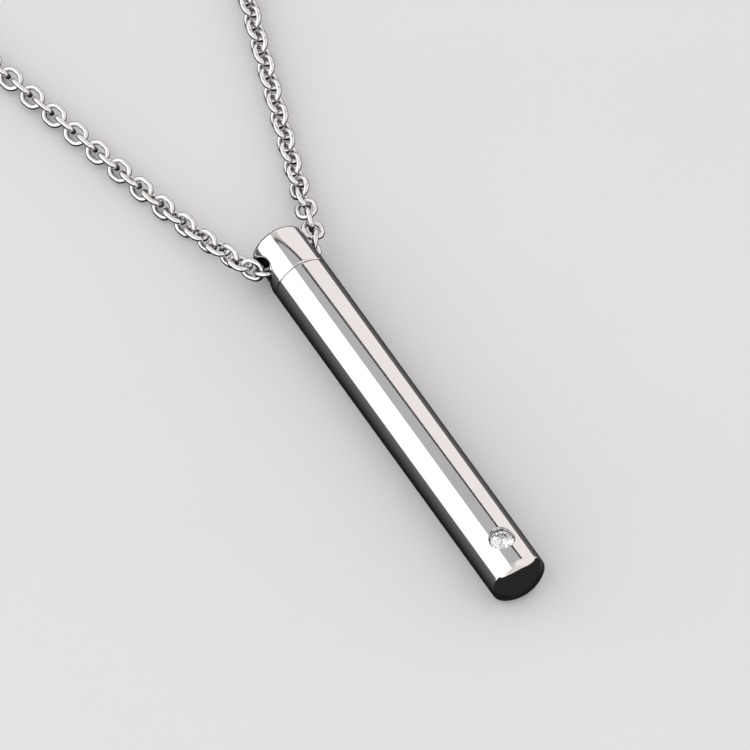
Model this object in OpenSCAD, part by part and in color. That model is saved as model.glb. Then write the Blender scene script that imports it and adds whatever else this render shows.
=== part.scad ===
// Keepsake urn pendant: a hollow polished bar that unscrews from its cap, on a cable chain.
// The piece lies on a flat surface at z = 0. +Y runs from the bar's lower end to the cap
// and on round the chain loop, +Z is up out of the clear stone, +X is to the right.

/* [Bar] */
// Diameter of the bar and of its cap
bar_diameter = 5; // [4:0.1:8]
// Length of the bar with the cap on
bar_length = 41.05; // [30:0.05:60]
// Length of the cap, from its top face to the seam
cap_length = 4.35; // [3.5:0.05:8]
// Rounding of the cap's top rim
cap_rim_round = 0.5; // [0.1:0.05:0.8]
// Diameter of the flat middle of the bar's lower end
foot_flat = 2; // [1:0.1:4]
// Radius of the dome from that flat out to the lower rim
foot_dome = 2; // [1:0.1:6]
// Rounding of the lower rim
foot_round = 0.15; // [0.05:0.05:0.5]
// Rounding of the two rims at the seam
seam_round = 0.12; // [0.05:0.01:0.4]
// Width of the seam between bar and cap
seam_gap = 0.05; // [0.02:0.01:0.3]

/* [Chamber] */
// Diameter of the chamber for the keepsake
chamber_diameter = 3.2; // [2:0.1:6]
// Solid metal below the chamber, which holds the stone
chamber_floor = 5.15; // [4.2:0.05:10]
// Length of the cap's stud below the seam
stud_length = 3; // [1:0.1:8]
// Clear space all round the stud
stud_gap = 0.15; // [0.05:0.01:0.4]

/* [Chain hole] */
// Diameter of the hole across the cap
hole_diameter = 2.7; // [2.4:0.05:3.2]
// Distance of the hole's axis below the cap's top face
hole_from_top = 2.15; // [1.5:0.05:4]
// Rounding of the hole's two rims
hole_round = 0.25; // [0.05:0.05:0.4]

/* [Stone] */
// Diameter of the round stone
stone_diameter = 2; // [1:0.05:3]
// Distance of the stone from the bar's lower end
stone_from_end = 3.45; // [2:0.05:20]
// Height of the stone's girdle above the bar's axis
girdle_height = 2.05; // [1.5:0.05:2.4]
// Diameter of the recess round the stone
seat_rim_diameter = 2.25; // [1.5:0.05:4]
// Clear space between stone and seat
seat_gap = 0.05; // [0.02:0.01:0.2]

/* [Chain] */
// Length of chain round the whole loop
chain_length = 500; // [400:5:700]
// Diameter of the link wire
wire_diameter = 0.38; // [0.3:0.01:0.6]
// Outer width of a link
link_width = 1.97; // [1.5:0.01:3]
// Outer length of a link
link_length = 2.35; // [1.8:0.01:4]
// Distance from one link to the next
link_pitch = 1.345; // [1:0.005:3]
// Real links on each side of the cap, before the plain run of the chain
links_each_side = 45; // [6:1:60]
// Lean of the left strand from the bar's line, in degrees
left_lean = 13.3; // [5:0.1:45]
// Lean of the right strand from the bar's line, in degrees
right_lean = 17.6; // [5:0.1:45]

/* [Clasp] */
// Outer width of the clasp's loop
clasp_width = 4.5; // [3:0.1:8]
// Outer length of the clasp's loop
clasp_loop_length = 7; // [5:0.1:12]
// Diameter of the clasp's loop wire
clasp_wire = 0.8; // [0.6:0.1:2]
// Diameter of the clasp's barrel
clasp_barrel = 2; // [1.5:0.1:4]
// Length of the clasp's barrel
clasp_barrel_length = 2.6; // [1:0.1:6]
// Outer diameter of the ring that the clasp holds
end_ring_diameter = 3.2; // [2.4:0.1:6]
// Diameter of that ring's wire
end_ring_wire = 0.4; // [0.3:0.05:1]

/* [Display] */
// Node to show: one node's name, or all

/* [Hidden] */
// Sides of the round shapes
round_sides = 72;
small_sides = 36;
bar_radius = bar_diameter / 2;
axis_height = bar_radius;
// Angles of the stone's crown and pavilion, and half its girdle's height as a share of its diameter
crown_angle = 34.5;
pavilion_angle = 41;
girdle_share = 0.02;
seam_y = bar_length - cap_length;
hole_y = bar_length - hole_from_top;
overcut = 0.5;

// Route of the chain through the hole and away on both sides, in plan
bore_run = 1.37;
bend_radius = 1.98;
left_turn = 90 - left_lean;
right_turn = 90 - right_lean;
left_bend = bend_radius * left_turn * PI / 180;
right_bend = bend_radius * right_turn * PI / 180;
left_start = [-bore_run - bend_radius * sin(left_turn), hole_y + bend_radius * (1 - cos(left_turn))];
right_start = [bore_run + bend_radius * sin(right_turn), hole_y + bend_radius * (1 - cos(right_turn))];

// The two straight strands meet the back arc as tangents from one point below the cap
half_lean = (left_lean + right_lean) / 2;
apex_right_run = ((right_start[0] - left_start[0]) * cos(left_lean)
    + (right_start[1] - left_start[1]) * sin(left_lean)) / sin(left_lean + right_lean);
apex = right_start - apex_right_run * [sin(right_lean), cos(right_lean)];
apex_left_run = norm(left_start - apex);
mouth_run = 2 * bore_run + left_bend + right_bend;
back_radius = (chain_length - mouth_run + apex_left_run + apex_right_run)
    / (2 / tan(half_lean) + (180 + 2 * half_lean) * PI / 180);
tangent_run = back_radius / tan(half_lean);
left_straight = tangent_run - apex_left_run;
right_straight = tangent_run - apex_right_run;
back_centre = apex + back_radius / sin(half_lean)
    * [sin(right_lean - half_lean), cos(right_lean - half_lean)];
back_arc = back_radius * (180 + 2 * half_lean) * PI / 180;

// Distance along the chain from the middle of the hole to the far end of each side
left_reach = bore_run + left_bend + left_straight + back_arc / 2;
right_reach = bore_run + right_bend + right_straight + back_arc / 2;

// Clasp and ring along the chain at the far point of the loop, eye first, centred between the strands
ring_radius = (end_ring_diameter - end_ring_wire) / 2;
ring_tilt = 45;
ring_height = end_ring_wire / 2 + ring_radius * cos(ring_tilt);
ring_shift = -0.1;
eye_radius = 0.75;
eye_reach = eye_radius + end_ring_wire / 2;
eye_overlap = 0.45;
barrel_overlap = 0.8;
end_gap = 0.3;
clasp_span = 2 * eye_reach - eye_overlap + clasp_barrel_length - barrel_overlap + clasp_loop_length
    - clasp_wire / 2 + ring_shift + end_ring_diameter / 2;
clasp_room = clasp_span / 2 + end_gap;
eye_middle = -clasp_span / 2 + eye_reach;
barrel_from = eye_middle + eye_reach - eye_overlap;
loop_middle = barrel_from + clasp_barrel_length - barrel_overlap + clasp_loop_length / 2;
ring_middle = loop_middle + clasp_loop_length / 2 - clasp_wire / 2 + ring_shift;

// Height of the chain's middle line and roll of its links, each by distance from the hole
// distance, height
route_height = [[-14, 0.95], [-10, 1.18], [-4, 2.28], [-2, 2.35], [2, 2.39], [4, 2.36], [10, 1.28], [14, 0.95]];
// distance, roll in degrees
route_roll = [[-24, -61], [-14, -42], [-8, -22], [-4, -18], [0, -50], [2, -74], [5, -84], [8, -115], [11, -138], [24, -142]];

// The middle of the finished loop, which is the origin in plan
back_rise = back_centre[1] + back_radius + clasp_width / 2;
origin_shift = [-back_centre[0], -back_rise / 2, 0];

function turned(v, angle) = [v[0] * cos(angle) - v[1] * sin(angle), v[0] * sin(angle) + v[1] * cos(angle)];

// Plan position at a distance along one side: side is -1 for the left strand, 1 for the right
function side_point(side, run) =
    let (
        lean = side < 0 ? left_lean : right_lean,
        bend = side < 0 ? left_bend : right_bend,
        start = side < 0 ? left_start : right_start,
        straight = side < 0 ? left_straight : right_straight,
        bent = run - bore_run,
        away = bent - bend,
        round_back = away - straight,
        angle = bent / bend_radius * 180 / PI,
        along = [side * sin(lean), cos(lean)],
        out = [side * cos(lean), -sin(lean)]
    )
    run <= bore_run ? [side * run, hole_y]
    : bent <= bend ? [side * (bore_run + bend_radius * sin(angle)), hole_y + bend_radius * (1 - cos(angle))]
    : away <= straight ? start + away * along
    : back_centre + back_radius * turned(out, side * round_back / back_radius * 180 / PI);

// Position on the chain's middle line at a signed distance from the middle of the hole
function route(distance) =
    let (plan = side_point(distance < 0 ? -1 : 1, abs(distance)))
    [plan[0], plan[1], lookup(distance, route_height)];

// Places its child on the route, along +X, between two distances
module on_route(from, to, roll) {
    a = route(from);
    b = route(to);
    along = b - a;
    translate((a + b) / 2)
        rotate([roll, -asin(along[2] / norm(along)), atan2(along[1], along[0])])
            children();
}

// One half of a round bead's edge: a square corner cut away and a quarter round put back
module rounded_profile(radius, from, to, round_from, round_to) {
    translate([0, from + round_from])
        square([radius, to - from - round_from - round_to]);
    translate([0, from])
        square([radius - round_from, to - from]);
    translate([0, to - round_to])
        square([radius - round_to, round_to]);
    translate([radius - round_from, from + round_from])
        circle(r = round_from, $fn = small_sides);
    translate([radius - round_to, to - round_to])
        circle(r = round_to, $fn = small_sides);
}

// One half of the bar's outline: flat middle, dome, rounded lower rim, straight side, rounded upper rim
module bar_profile(top) {
    dome_centre = foot_flat / 2;
    rim_centre = bar_radius - foot_round;
    tilt = asin((rim_centre - dome_centre) / (foot_dome - foot_round));
    rim_y = foot_dome - (foot_dome - foot_round) * cos(tilt);
    far = 2 * foot_dome;
    square([dome_centre, foot_dome]);
    intersection() {
        translate([dome_centre, foot_dome])
            circle(r = foot_dome, $fn = small_sides);
        polygon([
            [dome_centre, foot_dome],
            [dome_centre - far * sin(10), foot_dome - far * cos(10)],
            [dome_centre + far * sin(tilt / 2), foot_dome - far * cos(tilt / 2)],
            [dome_centre + far * sin(tilt), foot_dome - far * cos(tilt)],
        ]);
    }
    polygon([
        [0, foot_dome * 0.75],
        [dome_centre, foot_dome * 0.75],
        [rim_centre - foot_round, rim_y],
        [bar_radius, rim_y],
        [bar_radius, top - seam_round],
        [0, top - seam_round],
    ]);
    translate([rim_centre, rim_y])
        circle(r = foot_round, $fn = small_sides);
    translate([0, top - 2 * seam_round])
        square([bar_radius - seam_round, 2 * seam_round]);
    translate([bar_radius - seam_round, top - seam_round])
        circle(r = seam_round, $fn = small_sides);
}

// Turns a profile of radius and length about the bar's axis, with its length along +Y
module about_axis() {
    translate([0, 0, axis_height])
        rotate([-90, 0, 0])
            rotate_extrude($fn = round_sides)
                children();
}

// Round brilliant with its girdle at z = 0
module brilliant(diameter) {
    radius = diameter / 2;
    table_radius = 0.56 * radius;
    star_radius = 0.78 * radius;
    lower_radius = 0.24 * radius;
    crown_slope = tan(crown_angle);
    pavilion_slope = tan(pavilion_angle);
    girdle_half = girdle_share * diameter;
    table_height = girdle_half + (radius - table_radius) * crown_slope;
    star_height = girdle_half + (radius - star_radius * cos(22.5)) * crown_slope;
    lower_depth = girdle_half + (radius - lower_radius * cos(22.5)) * pavilion_slope;
    hull() {
        translate([0, 0, table_height - 0.01])
            cylinder(r = table_radius, h = 0.01, $fn = 8);
        rotate([0, 0, 22.5])
            translate([0, 0, star_height - 0.001])
                cylinder(r = star_radius, h = 0.001, $fn = 8);
        translate([0, 0, -girdle_half])
            cylinder(r = radius, h = 2 * girdle_half, $fn = 16);
        rotate([0, 0, 22.5])
            translate([0, 0, -lower_depth])
                cylinder(r = lower_radius, h = 0.001, $fn = 8);
        translate([0, 0, -girdle_half - radius * pavilion_slope])
            cylinder(r = 0.02, h = 0.01, $fn = 8);
    }
}

// Space cut for the stone: the recess, the wall round the girdle and the cone below
module stone_seat() {
    radius = stone_diameter / 2 + seat_gap;
    girdle_half = girdle_share * stone_diameter;
    wall_foot = -girdle_half - seat_gap;
    tip_radius = 0.2;
    cone_height = (radius - tip_radius) * tan(pavilion_angle);
    translate([0, stone_from_end, axis_height + girdle_height]) {
        translate([0, 0, wall_foot])
            cylinder(r = radius, h = bar_radius, $fn = round_sides);
        translate([0, 0, wall_foot - cone_height])
            cylinder(r1 = tip_radius, r2 = radius, h = cone_height, $fn = round_sides);
        translate([0, 0, girdle_half])
            cylinder(d = seat_rim_diameter, h = bar_radius, $fn = round_sides);
    }
}

module body_tube() {
    color("silver")
        difference() {
            about_axis()
                bar_profile(seam_y - seam_gap);
            translate([0, chamber_floor, axis_height])
                rotate([-90, 0, 0])
                    cylinder(d = chamber_diameter, h = bar_length, $fn = round_sides);
            stone_seat();
        }
}

// Cutter for the hole across the cap, with a rounded rim at each end
module chain_hole() {
    radius = hole_diameter / 2;
    flare_from = bar_radius - hole_round;
    translate([0, hole_y, axis_height])
        rotate([0, 90, 0]) {
            cylinder(r = radius, h = bar_diameter + 2 * overcut, center = true, $fn = round_sides);
            for (side = [0, 1])
                mirror([0, 0, side])
                    rotate_extrude($fn = round_sides)
                        difference() {
                            translate([0, flare_from])
                                square([radius + hole_round, hole_round + overcut]);
                            translate([radius + hole_round, flare_from])
                                circle(r = hole_round, $fn = small_sides);
                        }
        }
}

module cap() {
    color("lightgray")
        difference() {
            union() {
                about_axis()
                    rounded_profile(bar_radius, seam_y, bar_length, seam_round, cap_rim_round);
                translate([0, seam_y - stud_length, axis_height])
                    rotate([-90, 0, 0])
                        cylinder(d = chamber_diameter - 2 * stud_gap, h = stud_length + 1, $fn = round_sides);
            }
            chain_hole();
        }
}

module stone() {
    color("lightcyan")
        translate([0, stone_from_end, axis_height + girdle_height])
            brilliant(stone_diameter);
}

// Faces of a swept skin: rings of points one after another, joined end to end or closed by two caps
function skin_faces(rings, sides, joined) = concat(
    joined ? [] : [[for (k = [sides - 1 : -1 : 0]) k], [for (k = [0 : sides - 1]) (rings - 1) * sides + k]],
    [for (i = [0 : rings - (joined ? 1 : 2)], k = [0 : sides - 1])
        let (
            here = i * sides,
            next = ((i + 1) % rings) * sides,
            beside = (k + 1) % sides
        )
        [here + k, here + beside, next + beside, next + k]]
);

// One oval link of wire, long along X and flat in the XY plane
link_sides = 10;
wire_sides = 6;
module link() {
    radius = (link_width - wire_diameter) / 2;
    half_straight = (link_length - link_width) / 2;
    points = [
        for (i = [0 : link_sides - 1])
            let (
                right = i < link_sides / 2,
                angle = -90 + (right ? i : i - 1) * 180 / (link_sides / 2 - 1)
            )
            for (k = [0 : wire_sides - 1])
                let (
                    turn = 30 + k * 360 / wire_sides,
                    out = radius + wire_diameter / 2 * cos(turn)
                )
                [
                    (right ? half_straight : -half_straight) + out * cos(angle),
                    out * sin(angle),
                    wire_diameter / 2 * sin(turn)
                ]
    ];
    polyhedron(points = points, faces = skin_faces(link_sides, wire_sides, true));
}

module chain_front() {
    color("gainsboro")
        for (i = [-links_each_side : links_each_side - 1])
            on_route(i * link_pitch, (i + 1) * link_pitch, lookup((i + 0.5) * link_pitch, route_roll) + (i % 2 == 0 ? 0 : 90))
                link();
}

// Plain run of chain: one closed eight-sided tube along a side's route
tube_sides = 8;
tube_rings = 36;
module plain_run(side, from, to) {
    radius = link_width / 2;
    points = [
        for (i = [0 : tube_rings - 1])
            let (
                run = from + (to - from) * i / (tube_rings - 1),
                here = side_point(side, run),
                ahead = side_point(side, run + 0.1) - side_point(side, run - 0.1),
                across = [ahead[1], -ahead[0]] / norm(ahead)
            )
            for (k = [0 : tube_sides - 1])
                let (angle = k * 360 / tube_sides)
                [
                    here[0] + across[0] * radius * cos(angle),
                    here[1] + across[1] * radius * cos(angle),
                    radius + radius * sin(angle)
                ]
    ];
    polyhedron(points = points, faces = skin_faces(tube_rings, tube_sides, false));
}

module chain_back() {
    plain_from = links_each_side * link_pitch + link_length / 2;
    color("gainsboro") {
        plain_run(-1, plain_from, left_reach - clasp_room);
        plain_run(1, plain_from, right_reach - clasp_room);
    }
}

// Places its children at the far point of the loop, with +X along the chain to the right
module at_clasp() {
    far_lean = right_lean - half_lean;
    translate([
        back_centre[0] + back_radius * sin(far_lean),
        back_centre[1] + back_radius * cos(far_lean),
        clasp_barrel / 2
    ])
        rotate([0, 0, -far_lean])
            children();
}

// Oval wire loop centred on the origin, long along X
module wire_loop(outer_length, outer_width, wire) {
    radius = (outer_width - wire) / 2;
    straight = outer_length - outer_width;
    for (side = [0, 1])
        mirror([side, 0, 0])
            translate([straight / 2, 0, 0])
                rotate([0, 0, -90])
                    rotate_extrude(angle = 180, $fn = round_sides)
                        translate([radius, 0])
                            circle(d = wire, $fn = small_sides);
    for (side = [-1, 1])
        translate([0, side * radius, 0])
            rotate([0, 90, 0])
                cylinder(d = wire, h = straight, center = true, $fn = small_sides);
}

module clasp() {
    color("darkgray")
        at_clasp() {
            translate([loop_middle, 0, 0])
                wire_loop(clasp_loop_length, clasp_width, clasp_wire);
            translate([barrel_from, 0, 0])
                rotate([0, 90, 0])
                    cylinder(d = clasp_barrel, h = clasp_barrel_length, $fn = round_sides);
            translate([eye_middle, 0, 0])
                rotate_extrude($fn = round_sides)
                    translate([eye_radius, 0])
                        circle(d = end_ring_wire, $fn = small_sides);
        }
}

module end_ring() {
    color("gray")
        at_clasp()
            translate([ring_middle, 0, ring_height - clasp_barrel / 2])
                rotate([90 - ring_tilt, 0, 0])
                    rotate_extrude($fn = round_sides)
                        translate([ring_radius, 0])
                            circle(d = end_ring_wire, $fn = small_sides);
}

translate(origin_shift) {
    body_tube();
    cap();
    stone();
    chain_front();
    chain_back();
    clasp();
    end_ring();
}
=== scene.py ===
import math

import bpy
import numpy as np
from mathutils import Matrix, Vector


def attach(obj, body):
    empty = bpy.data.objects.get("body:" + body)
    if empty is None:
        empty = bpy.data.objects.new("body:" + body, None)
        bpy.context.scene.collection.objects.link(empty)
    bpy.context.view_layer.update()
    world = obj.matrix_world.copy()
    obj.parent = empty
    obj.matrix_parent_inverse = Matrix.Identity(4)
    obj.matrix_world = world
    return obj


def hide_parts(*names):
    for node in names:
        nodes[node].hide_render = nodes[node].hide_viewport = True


# Keepsake urn pendant: polished steel bar with a screw cap and a clear stone, on a cable chain.
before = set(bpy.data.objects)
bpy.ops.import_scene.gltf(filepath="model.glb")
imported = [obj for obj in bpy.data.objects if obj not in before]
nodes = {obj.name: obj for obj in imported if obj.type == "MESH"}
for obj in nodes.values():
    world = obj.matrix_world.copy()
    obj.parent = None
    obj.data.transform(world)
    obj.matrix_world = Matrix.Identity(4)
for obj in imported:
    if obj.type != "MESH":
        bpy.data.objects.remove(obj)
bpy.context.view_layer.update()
MM = 0.001

# Values shared with the part's source, in millimetres, before its shift to the origin
BAR_RADIUS = 2.5
BAR_LENGTH = 41.05
SEAM_Y = 36.7
SEAM_ROUND = 0.12
CAP_RIM_ROUND = 0.5
HOLE_RADIUS = 1.35
HOLE_Y = 38.9
HOLE_ROUND = 0.25
STUD_RADIUS = 1.45
STUD_FROM = 33.7
CHAMBER_RADIUS = 1.6
STONE_Y = 3.45
STONE_Z = 4.55
STONE_RADIUS = 1
CROWN_ANGLE = math.radians(34.5)
PAVILION_ANGLE = math.radians(41)
GIRDLE_SHARE = 0.02
RECESS_RADIUS = 1.125
RECESS_FOOT = STONE_Z - 0.12
CHAIN_LENGTH = 500
LINK_WIDTH = 1.97
LINK_LENGTH = 2.35
LINK_PITCH = 1.345
LINKS_EACH_SIDE = 45
LEFT_LEAN = math.radians(13.3)
RIGHT_LEAN = math.radians(17.6)
BORE_RUN = 1.37
BEND_RADIUS = 1.98
CLASP_WIDTH = 4.5
CLASP_SPAN = 11.35
RING_RADIUS = 1.4
RING_WIRE = 0.4
RING_TILT = 45

# The links' height and the even links' roll in degrees, by distance along the chain from the cap's hole
LYING_HEIGHT = 0.95
ROUTE_HEIGHT = [
    [-14, LYING_HEIGHT], [-10, 1.18], [-4, 2.28], [-2, 2.35],
    [2, 2.39], [4, 2.36], [10, 1.28], [14, LYING_HEIGHT],
]
ROUTE_ROLL = [
    [-24, -61], [-14, -42], [-8, -22], [-4, -18], [0, -50],
    [2, -74], [5, -84], [8, -115], [11, -138], [24, -142],
]

# Values of the scene alone, in millimetres and degrees
LINK_WIRE = 0.45
HOOK_GAP = 0.07
EYE_HEIGHT = 1.0
EYE_ROLL = 90
CAP_CROWN = 0.006
CAP_CROWN_Y = SEAM_Y + 1.55
THREAD_PITCH = 0.5
MOUTH_FROM = 33.6
MOUTH_TO = SEAM_Y - SEAM_ROUND - 0.05
OVERHEAD_HEIGHT = 302.5

# The route's worked-out lengths, as in the part's source
left_bend = BEND_RADIUS * (math.pi / 2 - LEFT_LEAN)
right_bend = BEND_RADIUS * (math.pi / 2 - RIGHT_LEAN)


def bend_point(side, angle):
    """A point of the round bend that takes the chain from the cap's hole into a strand."""
    return np.array([
        side * (BORE_RUN + BEND_RADIUS * math.sin(angle)),
        HOLE_Y + BEND_RADIUS * (1 - math.cos(angle)),
    ])


left_start = bend_point(-1, math.pi / 2 - LEFT_LEAN)
right_start = bend_point(1, math.pi / 2 - RIGHT_LEAN)
both_leans = LEFT_LEAN + RIGHT_LEAN
half_lean = both_leans / 2
across = right_start - left_start
apex_right_run = (across[0] * math.cos(LEFT_LEAN) + across[1] * math.sin(LEFT_LEAN)) / math.sin(both_leans)
apex = right_start - apex_right_run * np.array([math.sin(RIGHT_LEAN), math.cos(RIGHT_LEAN)])
apex_left_run = float(np.linalg.norm(left_start - apex))
mouth_run = 2 * BORE_RUN + left_bend + right_bend
loop_share = 2 / math.tan(half_lean) + math.pi + 2 * half_lean
back_radius = (CHAIN_LENGTH - mouth_run + apex_left_run + apex_right_run) / loop_share
left_straight = back_radius / math.tan(half_lean) - apex_left_run
right_straight = back_radius / math.tan(half_lean) - apex_right_run
far_lean = RIGHT_LEAN - half_lean
back_centre = apex + back_radius / math.sin(half_lean) * np.array([math.sin(far_lean), math.cos(far_lean)])
back_arc = back_radius * (math.pi + 2 * half_lean)
left_reach = BORE_RUN + left_bend + left_straight + back_arc / 2
right_reach = BORE_RUN + right_bend + right_straight + back_arc / 2
back_rise = back_centre[1] + back_radius + CLASP_WIDTH / 2
ORIGIN = np.array([-back_centre[0], -back_rise / 2, 0])


def to_frame(points):
    """Millimetres of the part's source to metres of the frame."""
    return (np.asarray(points, float) + ORIGIN) * MM


def side_point(side, run):
    """The chain's place seen from above, at a run from the hole's middle: side -1 is left, 1 is right."""
    if side < 0:
        lean, bend, start, straight = LEFT_LEAN, left_bend, left_start, left_straight
    else:
        lean, bend, start, straight = RIGHT_LEAN, right_bend, right_start, right_straight
    bent = run - BORE_RUN
    away = bent - bend
    if run <= BORE_RUN:
        return np.array([side * run, HOLE_Y])
    if bent <= bend:
        return bend_point(side, bent / BEND_RADIUS)
    if away <= straight:
        return start + away * np.array([side * math.sin(lean), math.cos(lean)])
    turn = side * (away - straight) / back_radius
    x, y = side * math.cos(lean), -math.sin(lean)
    turned = [x * math.cos(turn) - y * math.sin(turn), x * math.sin(turn) + y * math.cos(turn)]
    return back_centre + back_radius * np.array(turned)


def lookup(key, table):
    """A table's value at a key, in a straight line from row to row."""
    return float(np.interp(key, [row[0] for row in table], [row[1] for row in table]))


def axis_turn(axis, angle):
    """Rotation about one axis."""
    first, second = (axis + 1) % 3, (axis + 2) % 3
    matrix = np.eye(3)
    matrix[first, first] = math.cos(angle)
    matrix[second, second] = math.cos(angle)
    matrix[first, second] = -math.sin(angle)
    matrix[second, first] = math.sin(angle)
    return matrix


def turn_matrix(roll, along):
    """Rotation that lays X along a direction, after a roll about it."""
    along = along / np.linalg.norm(along)
    yaw = math.atan2(along[1], along[0])
    pitch = -math.asin(along[2])
    return axis_turn(2, yaw) @ axis_turn(1, pitch) @ axis_turn(0, roll)


def link_shape(stations, sides):
    """Points of one oval link of round wire, flat in XY and long along X."""
    radius = (LINK_WIDTH - LINK_WIRE) / 2
    half_straight = (LINK_LENGTH - LINK_WIDTH) / 2
    points = []
    for i in range(stations):
        right = i < stations // 2
        angle = -math.pi / 2 + (i if right else i - 1) * math.pi / (stations // 2 - 1)
        for k in range(sides):
            turn = 2 * math.pi * k / sides
            out = radius + LINK_WIRE / 2 * math.cos(turn)
            points.append([
                (half_straight if right else -half_straight) + out * math.cos(angle),
                out * math.sin(angle),
                LINK_WIRE / 2 * math.sin(turn),
            ])
    return np.array(points)


def ring_faces(stations, sides):
    """Quads of a closed tube: the points run round the wire first, then on to the next station."""
    i, k = np.meshgrid(np.arange(stations), np.arange(sides), indexing="ij")
    here, after = i * sides, ((i + 1) % stations) * sides
    beside = (k + 1) % sides
    return np.stack([here + k, after + k, after + beside, here + beside], -1).reshape(-1, 4)


def new_object(name, points, faces, material, smooth=True):
    mesh = bpy.data.meshes.new(name)
    mesh.from_pydata(np.asarray(points).tolist(), [], [list(map(int, face)) for face in faces])
    mesh.polygons.foreach_set("use_smooth", [smooth] * len(mesh.polygons))
    mesh.update()
    mesh.materials.append(material)
    made = bpy.data.objects.new(name, mesh)
    bpy.context.scene.collection.objects.link(made)
    return made


# Materials


def new_material(name):
    material = bpy.data.materials.new(name)
    material.use_nodes = True
    tree = material.node_tree
    return material, tree, tree.nodes["Principled BSDF"]


def add_node(tree, kind, **values):
    made = tree.nodes.new(kind)
    for key, value in values.items():
        if key in made.inputs:
            made.inputs[key].default_value = value
        else:
            setattr(made, key, value)
    return made


def stretched_noise(tree, scale, detail, stretch=(1, 1, 1)):
    """Noise in millimetres of the frame: a stretch over 1 along an axis makes it finer there."""
    where = add_node(tree, "ShaderNodeTexCoord")
    mapping = add_node(tree, "ShaderNodeMapping", Scale=tuple(k / MM for k in stretch))
    noise = add_node(tree, "ShaderNodeTexNoise", Scale=scale, Detail=detail, Roughness=0.6)
    tree.links.new(where.outputs["Object"], mapping.inputs["Vector"])
    tree.links.new(mapping.outputs["Vector"], noise.inputs["Vector"])
    return noise.outputs["Fac"]


def to_range(tree, source, low, high, from_low=0.3, from_high=0.7):
    ranged = add_node(tree, "ShaderNodeMapRange")
    for key, value in (("From Min", from_low), ("From Max", from_high), ("To Min", low), ("To Max", high)):
        ranged.inputs[key].default_value = value
    tree.links.new(source, ranged.inputs["Value"])
    return ranged.outputs["Result"]


def mixed_colour(tree, factor, first, second):
    mix = add_node(tree, "ShaderNodeMix", data_type="RGBA")
    mix.inputs["A"].default_value = (*first, 1)
    mix.inputs["B"].default_value = (*second, 1)
    tree.links.new(factor, mix.inputs["Factor"])
    return mix.outputs["Result"]


def steel(name, dark, light, polish, grain, bump, bump_depth, stretch=(1, 1, 1)):
    """Stainless steel: patchy tone, uneven polish and fine marks. The bump's depth is in metres."""
    material, tree, shader = new_material(name)
    shader.inputs["Metallic"].default_value = 1.0
    patches = stretched_noise(tree, 0.55, 3.0)
    tree.links.new(mixed_colour(tree, patches, dark, light), shader.inputs["Base Color"])
    marks = stretched_noise(tree, grain, 6.0, stretch)
    tree.links.new(to_range(tree, marks, *polish), shader.inputs["Roughness"])
    raised = add_node(tree, "ShaderNodeBump", Strength=bump, Distance=bump_depth)
    tree.links.new(marks, raised.inputs["Height"])
    tree.links.new(raised.outputs["Normal"], shader.inputs["Normal"])
    return material


def polished_steel(name):
    """The steel of the bar and the cap, with polishing marks that run round them."""
    dark, light = (0.70, 0.685, 0.68), (0.76, 0.745, 0.74)
    return steel(name, dark, light, (0.03, 0.075), 1.6, 0.06, 0.000004, (1, 9, 1))


def product(tree, first, second):
    made = add_node(tree, "ShaderNodeMath", operation="MULTIPLY")
    tree.links.new(first, made.inputs[0])
    tree.links.new(second, made.inputs[1])
    return made.outputs[0]


def inside_round(tree, centre, plan, radius):
    """1 inside a round space, with an edge 0.03 mm soft: plan is 1 along the two axes that cross it."""
    where = add_node(tree, "ShaderNodeTexCoord")
    away = add_node(tree, "ShaderNodeVectorMath", operation="SUBTRACT")
    away.inputs[1].default_value = to_frame(centre).tolist()
    tree.links.new(where.outputs["Object"], away.inputs[0])
    crossed = add_node(tree, "ShaderNodeVectorMath", operation="MULTIPLY")
    crossed.inputs[1].default_value = [k / MM for k in plan]
    tree.links.new(away.outputs[0], crossed.inputs[0])
    length = add_node(tree, "ShaderNodeVectorMath", operation="LENGTH")
    tree.links.new(crossed.outputs[0], length.inputs[0])
    return to_range(tree, length.outputs["Value"], 1, 0, radius - 0.01, radius + 0.02)


def height_over(tree, low, high):
    """Goes from 0 to 1 between two heights in millimetres."""
    where = add_node(tree, "ShaderNodeTexCoord")
    split = add_node(tree, "ShaderNodeSeparateXYZ")
    tree.links.new(where.outputs["Object"], split.inputs[0])
    return to_range(tree, split.outputs["Z"], 0, 1, low * MM, high * MM)


def mix_in(tree, shader, name, kind, value, factor):
    """Puts a value over what feeds one of the shader's sockets, as far as the factor says."""
    mix = add_node(tree, "ShaderNodeMix", data_type=kind)
    tree.links.new(factor, mix.inputs["Factor"])
    tree.links.new(shader.inputs[name].links[0].from_socket, mix.inputs["A"])
    mix.inputs["B"].default_value = value
    tree.links.new(mix.outputs["Result"], shader.inputs[name])


def dull_and_paint_shade(material, dull, dark, roughness, colour):
    """Makes steel rougher where polishing doesn't reach, and paints shade, a darker colour, where the
    second factor says.
    """
    tree = material.node_tree
    shader = tree.nodes["Principled BSDF"]
    mix_in(tree, shader, "Roughness", "FLOAT", roughness, dull)
    mix_in(tree, shader, "Base Color", "RGBA", (*colour, 1), dark)


bar_steel = polished_steel("bar_steel")
tree = bar_steel.node_tree
# Round the stone the recess's steel is rougher, and its lower part gets a dark colour: painted shade for
# the shadow in the recess.
over_stone = inside_round(tree, [0, STONE_Y, 0], (1, 1, 0), RECESS_RADIUS)
recess = product(tree, over_stone, height_over(tree, RECESS_FOOT, RECESS_FOOT + 0.01))
recess_corner_shade = product(tree, recess, height_over(tree, STONE_Z + 0.1, STONE_Z - 0.02))
dull_and_paint_shade(bar_steel, recess, recess_corner_shade, 0.2, (0.16, 0.155, 0.15))

cap_steel = polished_steel("cap_steel")
# Inside the cross hole the steel is rougher and gets a dark colour: painted shade for the hole's shadowed
# inside.
bore = inside_round(cap_steel.node_tree, [0, HOLE_Y, BAR_RADIUS], (0, 1, 1), HOLE_RADIUS + 0.04)
dull_and_paint_shade(cap_steel, bore, bore, 0.28, (0.13, 0.125, 0.12))

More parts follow.
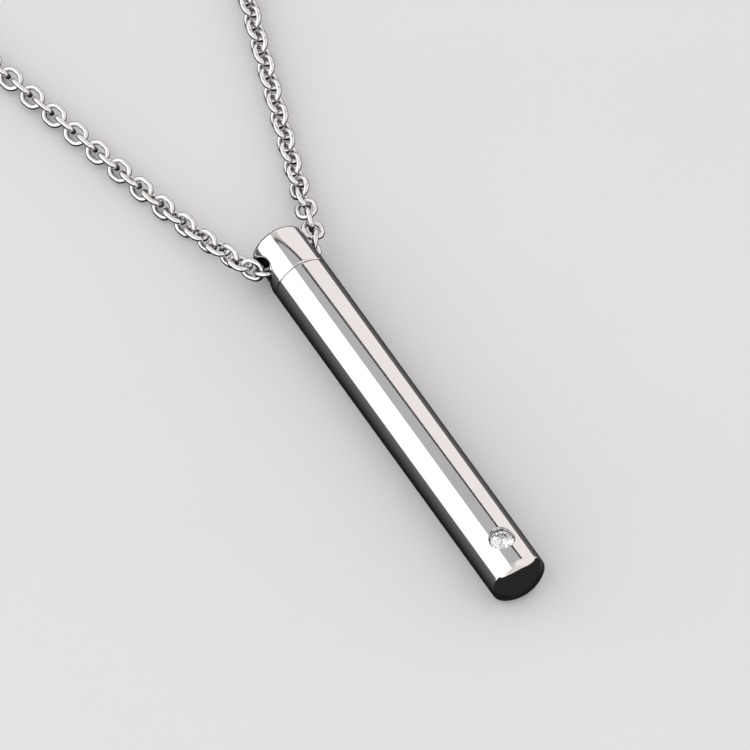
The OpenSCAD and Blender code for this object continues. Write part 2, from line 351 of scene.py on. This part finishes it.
wire_dark, wire_light = (0.66, 0.65, 0.65), (0.80, 0.79, 0.785)
bright_wire = steel("chain_steel", wire_dark, wire_light, (0.09, 0.2), 2.6, 0.22, 0.000012)
clasp_dark, clasp_light = (0.68, 0.67, 0.665), (0.78, 0.77, 0.765)
clasp_steel = steel("clasp_steel", clasp_dark, clasp_light, (0.06, 0.14), 1.9, 0.12, 0.000008)

stone_clear, tree, shader = new_material("stone_clear")
shader.inputs["Transmission Weight"].default_value = 1.0
shader.inputs["IOR"].default_value = 2.15
veil = stretched_noise(tree, 1.4, 3.0)
tree.links.new(to_range(tree, veil, 0.0, 0.012), shader.inputs["Roughness"])
tint = mixed_colour(tree, veil, (0.96, 0.965, 0.975), (0.99, 0.99, 0.995))
tree.links.new(tint, shader.inputs["Base Color"])


# The chain: real links all round, hooked into the clasp's eye and the end ring


def chain_object(name, spans, stations, sides):
    """One object of many links: each span has a link's two ends along the chain and its roll."""
    shape, faces = link_shape(stations, sides), ring_faces(stations, sides)
    points, link_faces = [], []
    for n, (start, end, roll) in enumerate(spans):
        points.append((shape @ turn_matrix(roll, end - start).T) + (start + end) / 2)
        link_faces.append(faces + n * len(shape))
    chain = new_object(name, to_frame(np.vstack(points)), np.vstack(link_faces), bright_wire)
    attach(chain, "cap_and_chain")
    return chain


def front_place(distance):
    """The route's middle line near the cap: a distance below 0 is left of the hole's middle."""
    plan = side_point(-1 if distance < 0 else 1, abs(distance))
    return np.array([*plan, lookup(distance, ROUTE_HEIGHT)])


front_spans = []
for i in range(-LINKS_EACH_SIDE, LINKS_EACH_SIDE):
    roll = lookup((i + 0.5) * LINK_PITCH, ROUTE_ROLL) + (0 if i % 2 == 0 else 90)
    front_spans.append((front_place(i * LINK_PITCH), front_place((i + 1) * LINK_PITCH), math.radians(roll)))
chain_front = chain_object("links_front", front_spans, 32, 12)
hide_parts("chain_front")

# From the chain's far point to the middle of the last link, in the clasp's eye or in the end ring
hooked_from_far = CLASP_SPAN / 2 - RING_WIRE + LINK_LENGTH / 2 - LINK_WIRE - HOOK_GAP


def back_spans(side, reach, last_height, last_roll):
    """Links from the end of the front run to the one that hooks the clasp's eye or the end ring."""
    first = LINKS_EACH_SIDE * LINK_PITCH + LINK_PITCH / 2
    last = reach - hooked_from_far
    count = round((last - first) / LINK_PITCH)
    pitch = (last - first) / count
    start_roll, rest_roll, odd = (ROUTE_ROLL[0][1], -45, 1) if side < 0 else (ROUTE_ROLL[-1][1], -135, 0)
    end_roll = last_roll - 90 * ((LINKS_EACH_SIDE + count + odd) % 2)
    rolls = [[first, start_roll], [first + 30, rest_roll], [last - 12, rest_roll], [last - 1, end_roll]]
    heights = [
        [last - 14, LYING_HEIGHT], [last - 10, EYE_HEIGHT],
        [last - 5, EYE_HEIGHT], [last, last_height],
    ]
    spans = []
    for n in range(count + 1):
        run = first + n * pitch
        start, end = [
            np.array([*side_point(side, at), lookup(at, heights)])
            for at in (run - pitch / 2, run + pitch / 2)
        ]
        roll = lookup(run, rolls) + 90 * ((LINKS_EACH_SIDE + n + odd) % 2)
        spans.append((start, end, math.radians(roll)))
    return spans


ring_height = RING_WIRE / 2 + RING_RADIUS * math.cos(math.radians(RING_TILT))
left_back = back_spans(-1, left_reach, EYE_HEIGHT, EYE_ROLL)
right_back = back_spans(1, right_reach, ring_height, RING_TILT)
links_back = chain_object("links_back", left_back + right_back, 20, 8)
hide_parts("chain_back")


# The cap: rounded cylinder, threaded stud and a cross hole whose rim is rounded all the way round


def rounded_rod(out, y, radius, low, high, rim):
    """Signed distance to a rod along Y with rounded rims, from the distance to its axis."""
    over_side = out - radius + rim
    over_end = np.abs(y - (low + high) / 2) - (high - low) / 2 + rim
    inner = np.minimum(np.maximum(over_side, over_end), 0)
    return inner + np.hypot(np.maximum(over_side, 0), np.maximum(over_end, 0)) - rim


def ridge(y, turn):
    """A round thread's height between 0 and 1."""
    return 0.5 + 0.5 * np.cos(2 * math.pi * y / THREAD_PITCH - turn)


def cap_distance(p):
    """Signed distance to the cap's surface, near it, in millimetres with z from the bar's axis."""
    x, y, z = p[..., 0], p[..., 1], p[..., 2]
    out = np.hypot(x, z)
    rim = np.where(y > (SEAM_Y + BAR_LENGTH) / 2, CAP_RIM_ROUND, SEAM_ROUND)
    crowned = out + CAP_CROWN * (y - CAP_CROWN_Y) ** 2
    body = rounded_rod(crowned, y, BAR_RADIUS, SEAM_Y, BAR_LENGTH, rim)
    bore = HOLE_RADIUS - np.hypot(y - HOLE_Y, z)
    rounded = np.hypot(np.maximum(HOLE_ROUND + body, 0), np.maximum(HOLE_ROUND + bore, 0))
    body = np.minimum(-HOLE_ROUND, np.maximum(body, bore)) + rounded
    groove_depth, thread_depth, stud_rim, stud_in_cap = 0.16, 0.14, 0.15, 0.6
    thread_from, thread_to = STUD_FROM + 0.15, SEAM_Y - 0.35
    fade = np.clip((y - thread_from) / 0.3, 0, 1) * np.clip((thread_to - y) / 0.25, 0, 1)
    radius = STUD_RADIUS - groove_depth + thread_depth * ridge(y, np.arctan2(x, z)) * fade
    return np.minimum(body, rounded_rod(out, y, radius, STUD_FROM, SEAM_Y + stud_in_cap, stud_rim))


def surface_net(distance, low, high, step):
    """Quads round the zero level of a distance function: one point in each cell that it crosses."""
    axes = [np.arange(a, b + step, step) for a, b in zip(low, high)]
    grid = np.stack(np.meshgrid(*axes, indexing="ij"), -1)
    inside = distance(grid) < 0
    shape = tuple(n - 1 for n in inside.shape)
    corners = np.zeros(shape, int)
    for i, j, k in np.ndindex(2, 2, 2):
        corners += inside[i:i + shape[0], j:j + shape[1], k:k + shape[2]]
    crossed = (corners > 0) & (corners < 8)
    number = np.full(shape, -1)
    number[crossed] = np.arange(crossed.sum())
    points = np.argwhere(crossed) * step + np.array(low) + step / 2
    faces = []
    for axis in range(3):
        others = [a for a in range(3) if a != axis]
        cells = np.argwhere(inside != np.roll(inside, -1, axis))
        keep = cells[:, axis] < shape[axis]
        for other in others:
            keep &= (cells[:, other] > 0) & (cells[:, other] < shape[other])
        cells = cells[keep]
        quads = []
        for shift in ((0, 0), (-1, 0), (-1, -1), (0, -1)):
            near = cells.copy()
            near[:, others] += shift
            quads.append(number[tuple(near.T)])
        quads = np.stack(quads, 1)
        flip = inside[tuple(cells.T)] ^ (axis == 1)
        quads[~flip] = quads[~flip][:, ::-1]
        faces.append(quads)
    return points, np.vstack(faces)


def slope(distance, points, step=0.0005):
    """Unit vectors along which the distance grows fastest."""
    parts = [distance(points + shift) - distance(points - shift) for shift in step * np.eye(3)]
    grown = np.stack(parts, -1)
    return grown / np.maximum(np.linalg.norm(grown, axis=1, keepdims=True), 1e-9)


margin = 0.15
net_low = (-BAR_RADIUS - margin, STUD_FROM - margin, -BAR_RADIUS - margin)
net_high = (BAR_RADIUS + margin, BAR_LENGTH + margin, BAR_RADIUS + margin)
points, faces = surface_net(cap_distance, net_low, net_high, 0.075)

# A few short steps bring the net's points onto the surface
for _ in range(8):
    points = points - 0.9 * cap_distance(points)[:, None] * slope(cap_distance, points)
normals = slope(cap_distance, points)
cap = new_object("cap_body", to_frame(points + [0, 0, BAR_RADIUS]), faces, cap_steel)
cap.data.normals_split_custom_set_from_vertices(normals.tolist())
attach(cap, "cap_and_chain")
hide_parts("cap")


# The thread inside the bar's mouth, a ribbed lining that fades out at both ends


def mouth_thread(steps, sides):
    behind_wall, cover, depth, fade = 0.01, 0.02, 0.1, 0.4
    run = np.linspace(MOUTH_FROM, MOUTH_TO, steps)[:, None]
    turn = np.linspace(0, 2 * math.pi, sides, endpoint=False)[None]
    ends = np.clip((run - run[0]) / fade, 0, 1) * np.clip((run[-1] - run) / fade, 0, 1)
    radius = CHAMBER_RADIUS + behind_wall - (cover + depth * ridge(run, turn)) * ends
    x, z = radius * np.sin(turn), BAR_RADIUS + radius * np.cos(turn)
    points = np.stack([x, run + 0 * turn, z], -1).reshape(-1, 3)
    return points, ring_faces(steps, sides)[:(steps - 1) * sides]


points, faces = mouth_thread(76, 72)
thread = new_object("bar_thread", to_frame(points), faces, bar_steel)
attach(thread, "bar")


# The stone: full round brilliant with its girdle at the height of the seat


def brilliant(radius):
    table_radius, star_radius, lower_radius = 0.56 * radius, 0.78 * radius, 0.24 * radius
    crown, pavilion = math.tan(CROWN_ANGLE), math.tan(PAVILION_ANGLE)
    girdle = 2 * GIRDLE_SHARE * radius
    between = 22.5
    side = math.cos(math.radians(between))

    def ring(count, ring_radius, z, first):
        angles = [math.radians(first + 360 * k / count) for k in range(count)]
        return [[ring_radius * math.cos(angle), ring_radius * math.sin(angle), z] for angle in angles]

    points = ring(8, table_radius, girdle + (radius - table_radius) * crown, 0)
    points += ring(8, star_radius, girdle + (radius - star_radius * side) * crown, between)
    points += ring(16, radius, girdle, 0) + ring(16, radius, -girdle, 0)
    points += ring(8, lower_radius, -girdle - (radius - lower_radius * side) * pavilion, between)
    points += [[0, 0, -girdle - radius * pavilion]]

    # Each ring's first point, and the one at the tip
    star, upper, lower, low_star, culet = 8, 16, 32, 48, 56
    faces = [list(range(8))]
    for k in range(8):
        after, before = (k + 1) % 8, (k - 1) % 8
        first, middle, last = 2 * k, (2 * k + 1) % 16, (2 * k + 2) % 16
        faces += [
            [k, star + k, after],
            [k, star + before, upper + first, star + k],
            [star + k, upper + first, upper + middle],
            [star + k, upper + middle, upper + last],
            [upper + first, lower + first, lower + middle, upper + middle],
            [upper + middle, lower + middle, lower + last, upper + last],
            [low_star + k, lower + middle, lower + first],
            [low_star + k, lower + last, lower + middle],
            [lower + first, low_star + before, culet, low_star + k],
        ]
    return np.array(points), faces


points, faces = brilliant(STONE_RADIUS)
stone = new_object("stone_cut", to_frame(points + [0, STONE_Y, STONE_Z]), faces, stone_clear, smooth=False)
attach(stone, "bar")
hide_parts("stone")

# The pieces that come from the part's source as they are
for name, material in (("body_tube", bar_steel), ("clasp", clasp_steel), ("end_ring", clasp_steel)):
    for slot in nodes[name].material_slots:
        slot.link = "OBJECT"
        slot.material = material


# Stage: pale floor, soft cards round the bar that only reflections and soft light see, and the camera


def glow(name, colour, strength):
    material = bpy.data.materials.new(name)
    material.use_nodes = True
    tree = material.node_tree
    tree.nodes.clear()
    emission = add_node(tree, "ShaderNodeEmission", Color=(*colour, 1), Strength=strength)
    output = add_node(tree, "ShaderNodeOutputMaterial")
    tree.links.new(emission.outputs[0], output.inputs["Surface"])
    return material


def card(name, points, faces, colour, strength, diffuse=False):
    """A glowing card that the camera doesn't see: reflections do, and soft light if diffuse is set."""
    made = new_object(name, points, faces, glow(name + "_glow", colour, strength), smooth=False)
    made.visible_camera = False
    made.visible_shadow = False
    made.visible_diffuse = diffuse


# Just under the part, so that the two don't share a plane
FLOOR_HALF, FLOOR_DROP = 8, 0.00002
floor_material, tree, shader = new_material("floor_pale")
pale = mixed_colour(tree, stretched_noise(tree, 0.02, 2.0), (0.61, 0.61, 0.615), (0.64, 0.64, 0.64))
tree.links.new(pale, shader.inputs["Base Color"])
shader.inputs["Roughness"].default_value = 0.85
shader.inputs["Specular IOR Level"].default_value = 0.1
floor_corners = [
    [side * FLOOR_HALF, end * FLOOR_HALF, -FLOOR_DROP]
    for side, end in ((-1, -1), (1, -1), (1, 1), (-1, 1))
]
floor = new_object("floor", floor_corners, [[0, 1, 2, 3]], floor_material, smooth=False)
floor.visible_glossy = False

bar_x, bar_y, bar_z = to_frame([0, 0, BAR_RADIUS])


def side_card(name, first, last, colour, strength):
    """Part of a tunnel round the bar: angles from straight up, positive to the right."""
    steps, radius, half_length = 24, 0.6, 1.6
    points, faces = [], []
    for k in range(steps + 1):
        angle = math.radians(first + (last - first) * k / steps)
        for y in (-half_length, half_length):
            points.append([bar_x + radius * math.sin(angle), y, bar_z + radius * math.cos(angle)])
    for k in range(steps):
        faces.append([2 * k, 2 * k + 1, 2 * k + 3, 2 * k + 2])
    card(name, points, faces, colour, strength, diffuse=True)


def upright_card(name, y, half_width, low, high, colour, strength):
    """A card that stands across the bar's axis."""
    corners = ((-half_width, low), (half_width, low), (half_width, high), (-half_width, high))
    card(name, [[bar_x + x, y, z] for x, z in corners], [[0, 1, 2, 3]], colour, strength)


def overhead(places):
    """Points at the height of the overhead card, from places in metres from the bar's lower end."""
    return [[bar_x + x, bar_y + y, OVERHEAD_HEIGHT * MM] for x, y in places]


side_card("left_card", -93.5, -16.7, (1.0, 1.0, 1.0), 1.55)
side_card("right_card", 9, 93.5, (1.0, 0.955, 0.95), 1.12)
upright_card("end_card", -1.6, 0.62, 0, 0.62, (1.0, 0.95, 0.93), 0.95)
upright_card("low_end_card", -1.2, 6, -2.4, -0.01, (1.0, 0.97, 0.97), 0.028)

# Overhead, a soft card ends in a dark line: the white and grey bands along the bar
line_near = overhead([(-0.09, 0.2520), (0.02, 0.2375), (0.5, 0.16987)])
line_far = overhead([(-0.09, 0.2590), (0.02, 0.2440), (0.5, 0.22377)])
card_front = overhead([(-0.09, 0.165), (0.5, 0.165)])
card("top_card", card_front + line_near[::-1], [[0, 1, 2, 3, 4]], (0.985, 0.985, 1.0), 0.61)
card("line_card", line_near + line_far, [[0, 1, 4, 3], [1, 2, 5, 4]], (0.95, 0.95, 1.0), 0.03)

# The photo's view of the bar, as directions towards the camera, to its right and up
azimuth, elevation = math.radians(-29.75), math.radians(52)
back = Vector((
    math.sin(azimuth) * math.cos(elevation),
    -math.cos(azimuth) * math.cos(elevation),
    math.sin(elevation),
))
rightward = Vector((math.cos(azimuth), math.sin(azimuth), 0))
upward = back.cross(rightward)

# The dark round of the camera itself, which the stone and the rims see
disc_points, disc_radius, disc_away = 24, 0.07, 0.5
disc_centre = Vector((bar_x, bar_y, bar_z)) + disc_away * back
disc = []
for k in range(disc_points):
    turn = 2 * math.pi * k / disc_points
    disc.append(disc_centre + disc_radius * (math.cos(turn) * rightward + math.sin(turn) * upward))
card("camera_card", disc, [list(range(disc_points))], (1.0, 1.0, 1.0), 0.02)

# The room: dark straight below, greyer towards the horizon, pale above it
world = bpy.data.worlds.new("studio")
bpy.context.scene.world = world
world.use_nodes = True
tree = world.node_tree
where = add_node(tree, "ShaderNodeTexCoord")
split = add_node(tree, "ShaderNodeSeparateXYZ")
ramp = add_node(tree, "ShaderNodeValToRGB")
tree.links.new(where.outputs["Generated"], split.inputs[0])
height = to_range(tree, split.outputs["Z"], 0.0, 1.0, -1.0, 1.0)
tree.links.new(height, ramp.inputs["Fac"])
stops = ramp.color_ramp.elements
stops[0].position, stops[0].color = 0.1, (0.015, 0.015, 0.017, 1)
stops[1].position, stops[1].color = 0.495, (0.19, 0.185, 0.185, 1)
for at in (0.51, 1.0):
    stop = stops.new(at)
    stop.color = (0.75, 0.75, 0.75, 1)
background = tree.nodes["Background"]
tree.links.new(ramp.outputs["Color"], background.inputs["Color"])

# The camera, as far away as its long lens needs for the photo's scale
PHOTO_PIXELS = 750
PIXELS_PER_MM = 12.14
camera_data = bpy.data.cameras.new("camera")
camera = bpy.data.objects.new("camera", camera_data)
bpy.context.scene.collection.objects.link(camera)
bpy.context.scene.camera = camera
camera_data.lens = 1200
camera_data.sensor_width = 36
camera_data.clip_start, camera_data.clip_end = 0.01, 100
aim = Vector(to_frame([-3.714, 18.007, 12.897]).tolist())
distance = camera_data.lens * PHOTO_PIXELS / camera_data.sensor_width / PIXELS_PER_MM * MM
camera.location = aim + back * distance
camera.rotation_mode = "QUATERNION"
camera.rotation_quaternion = (-back).to_track_quat("-Z", "Y")
bpy.context.scene.view_settings.view_transform = "Standard"
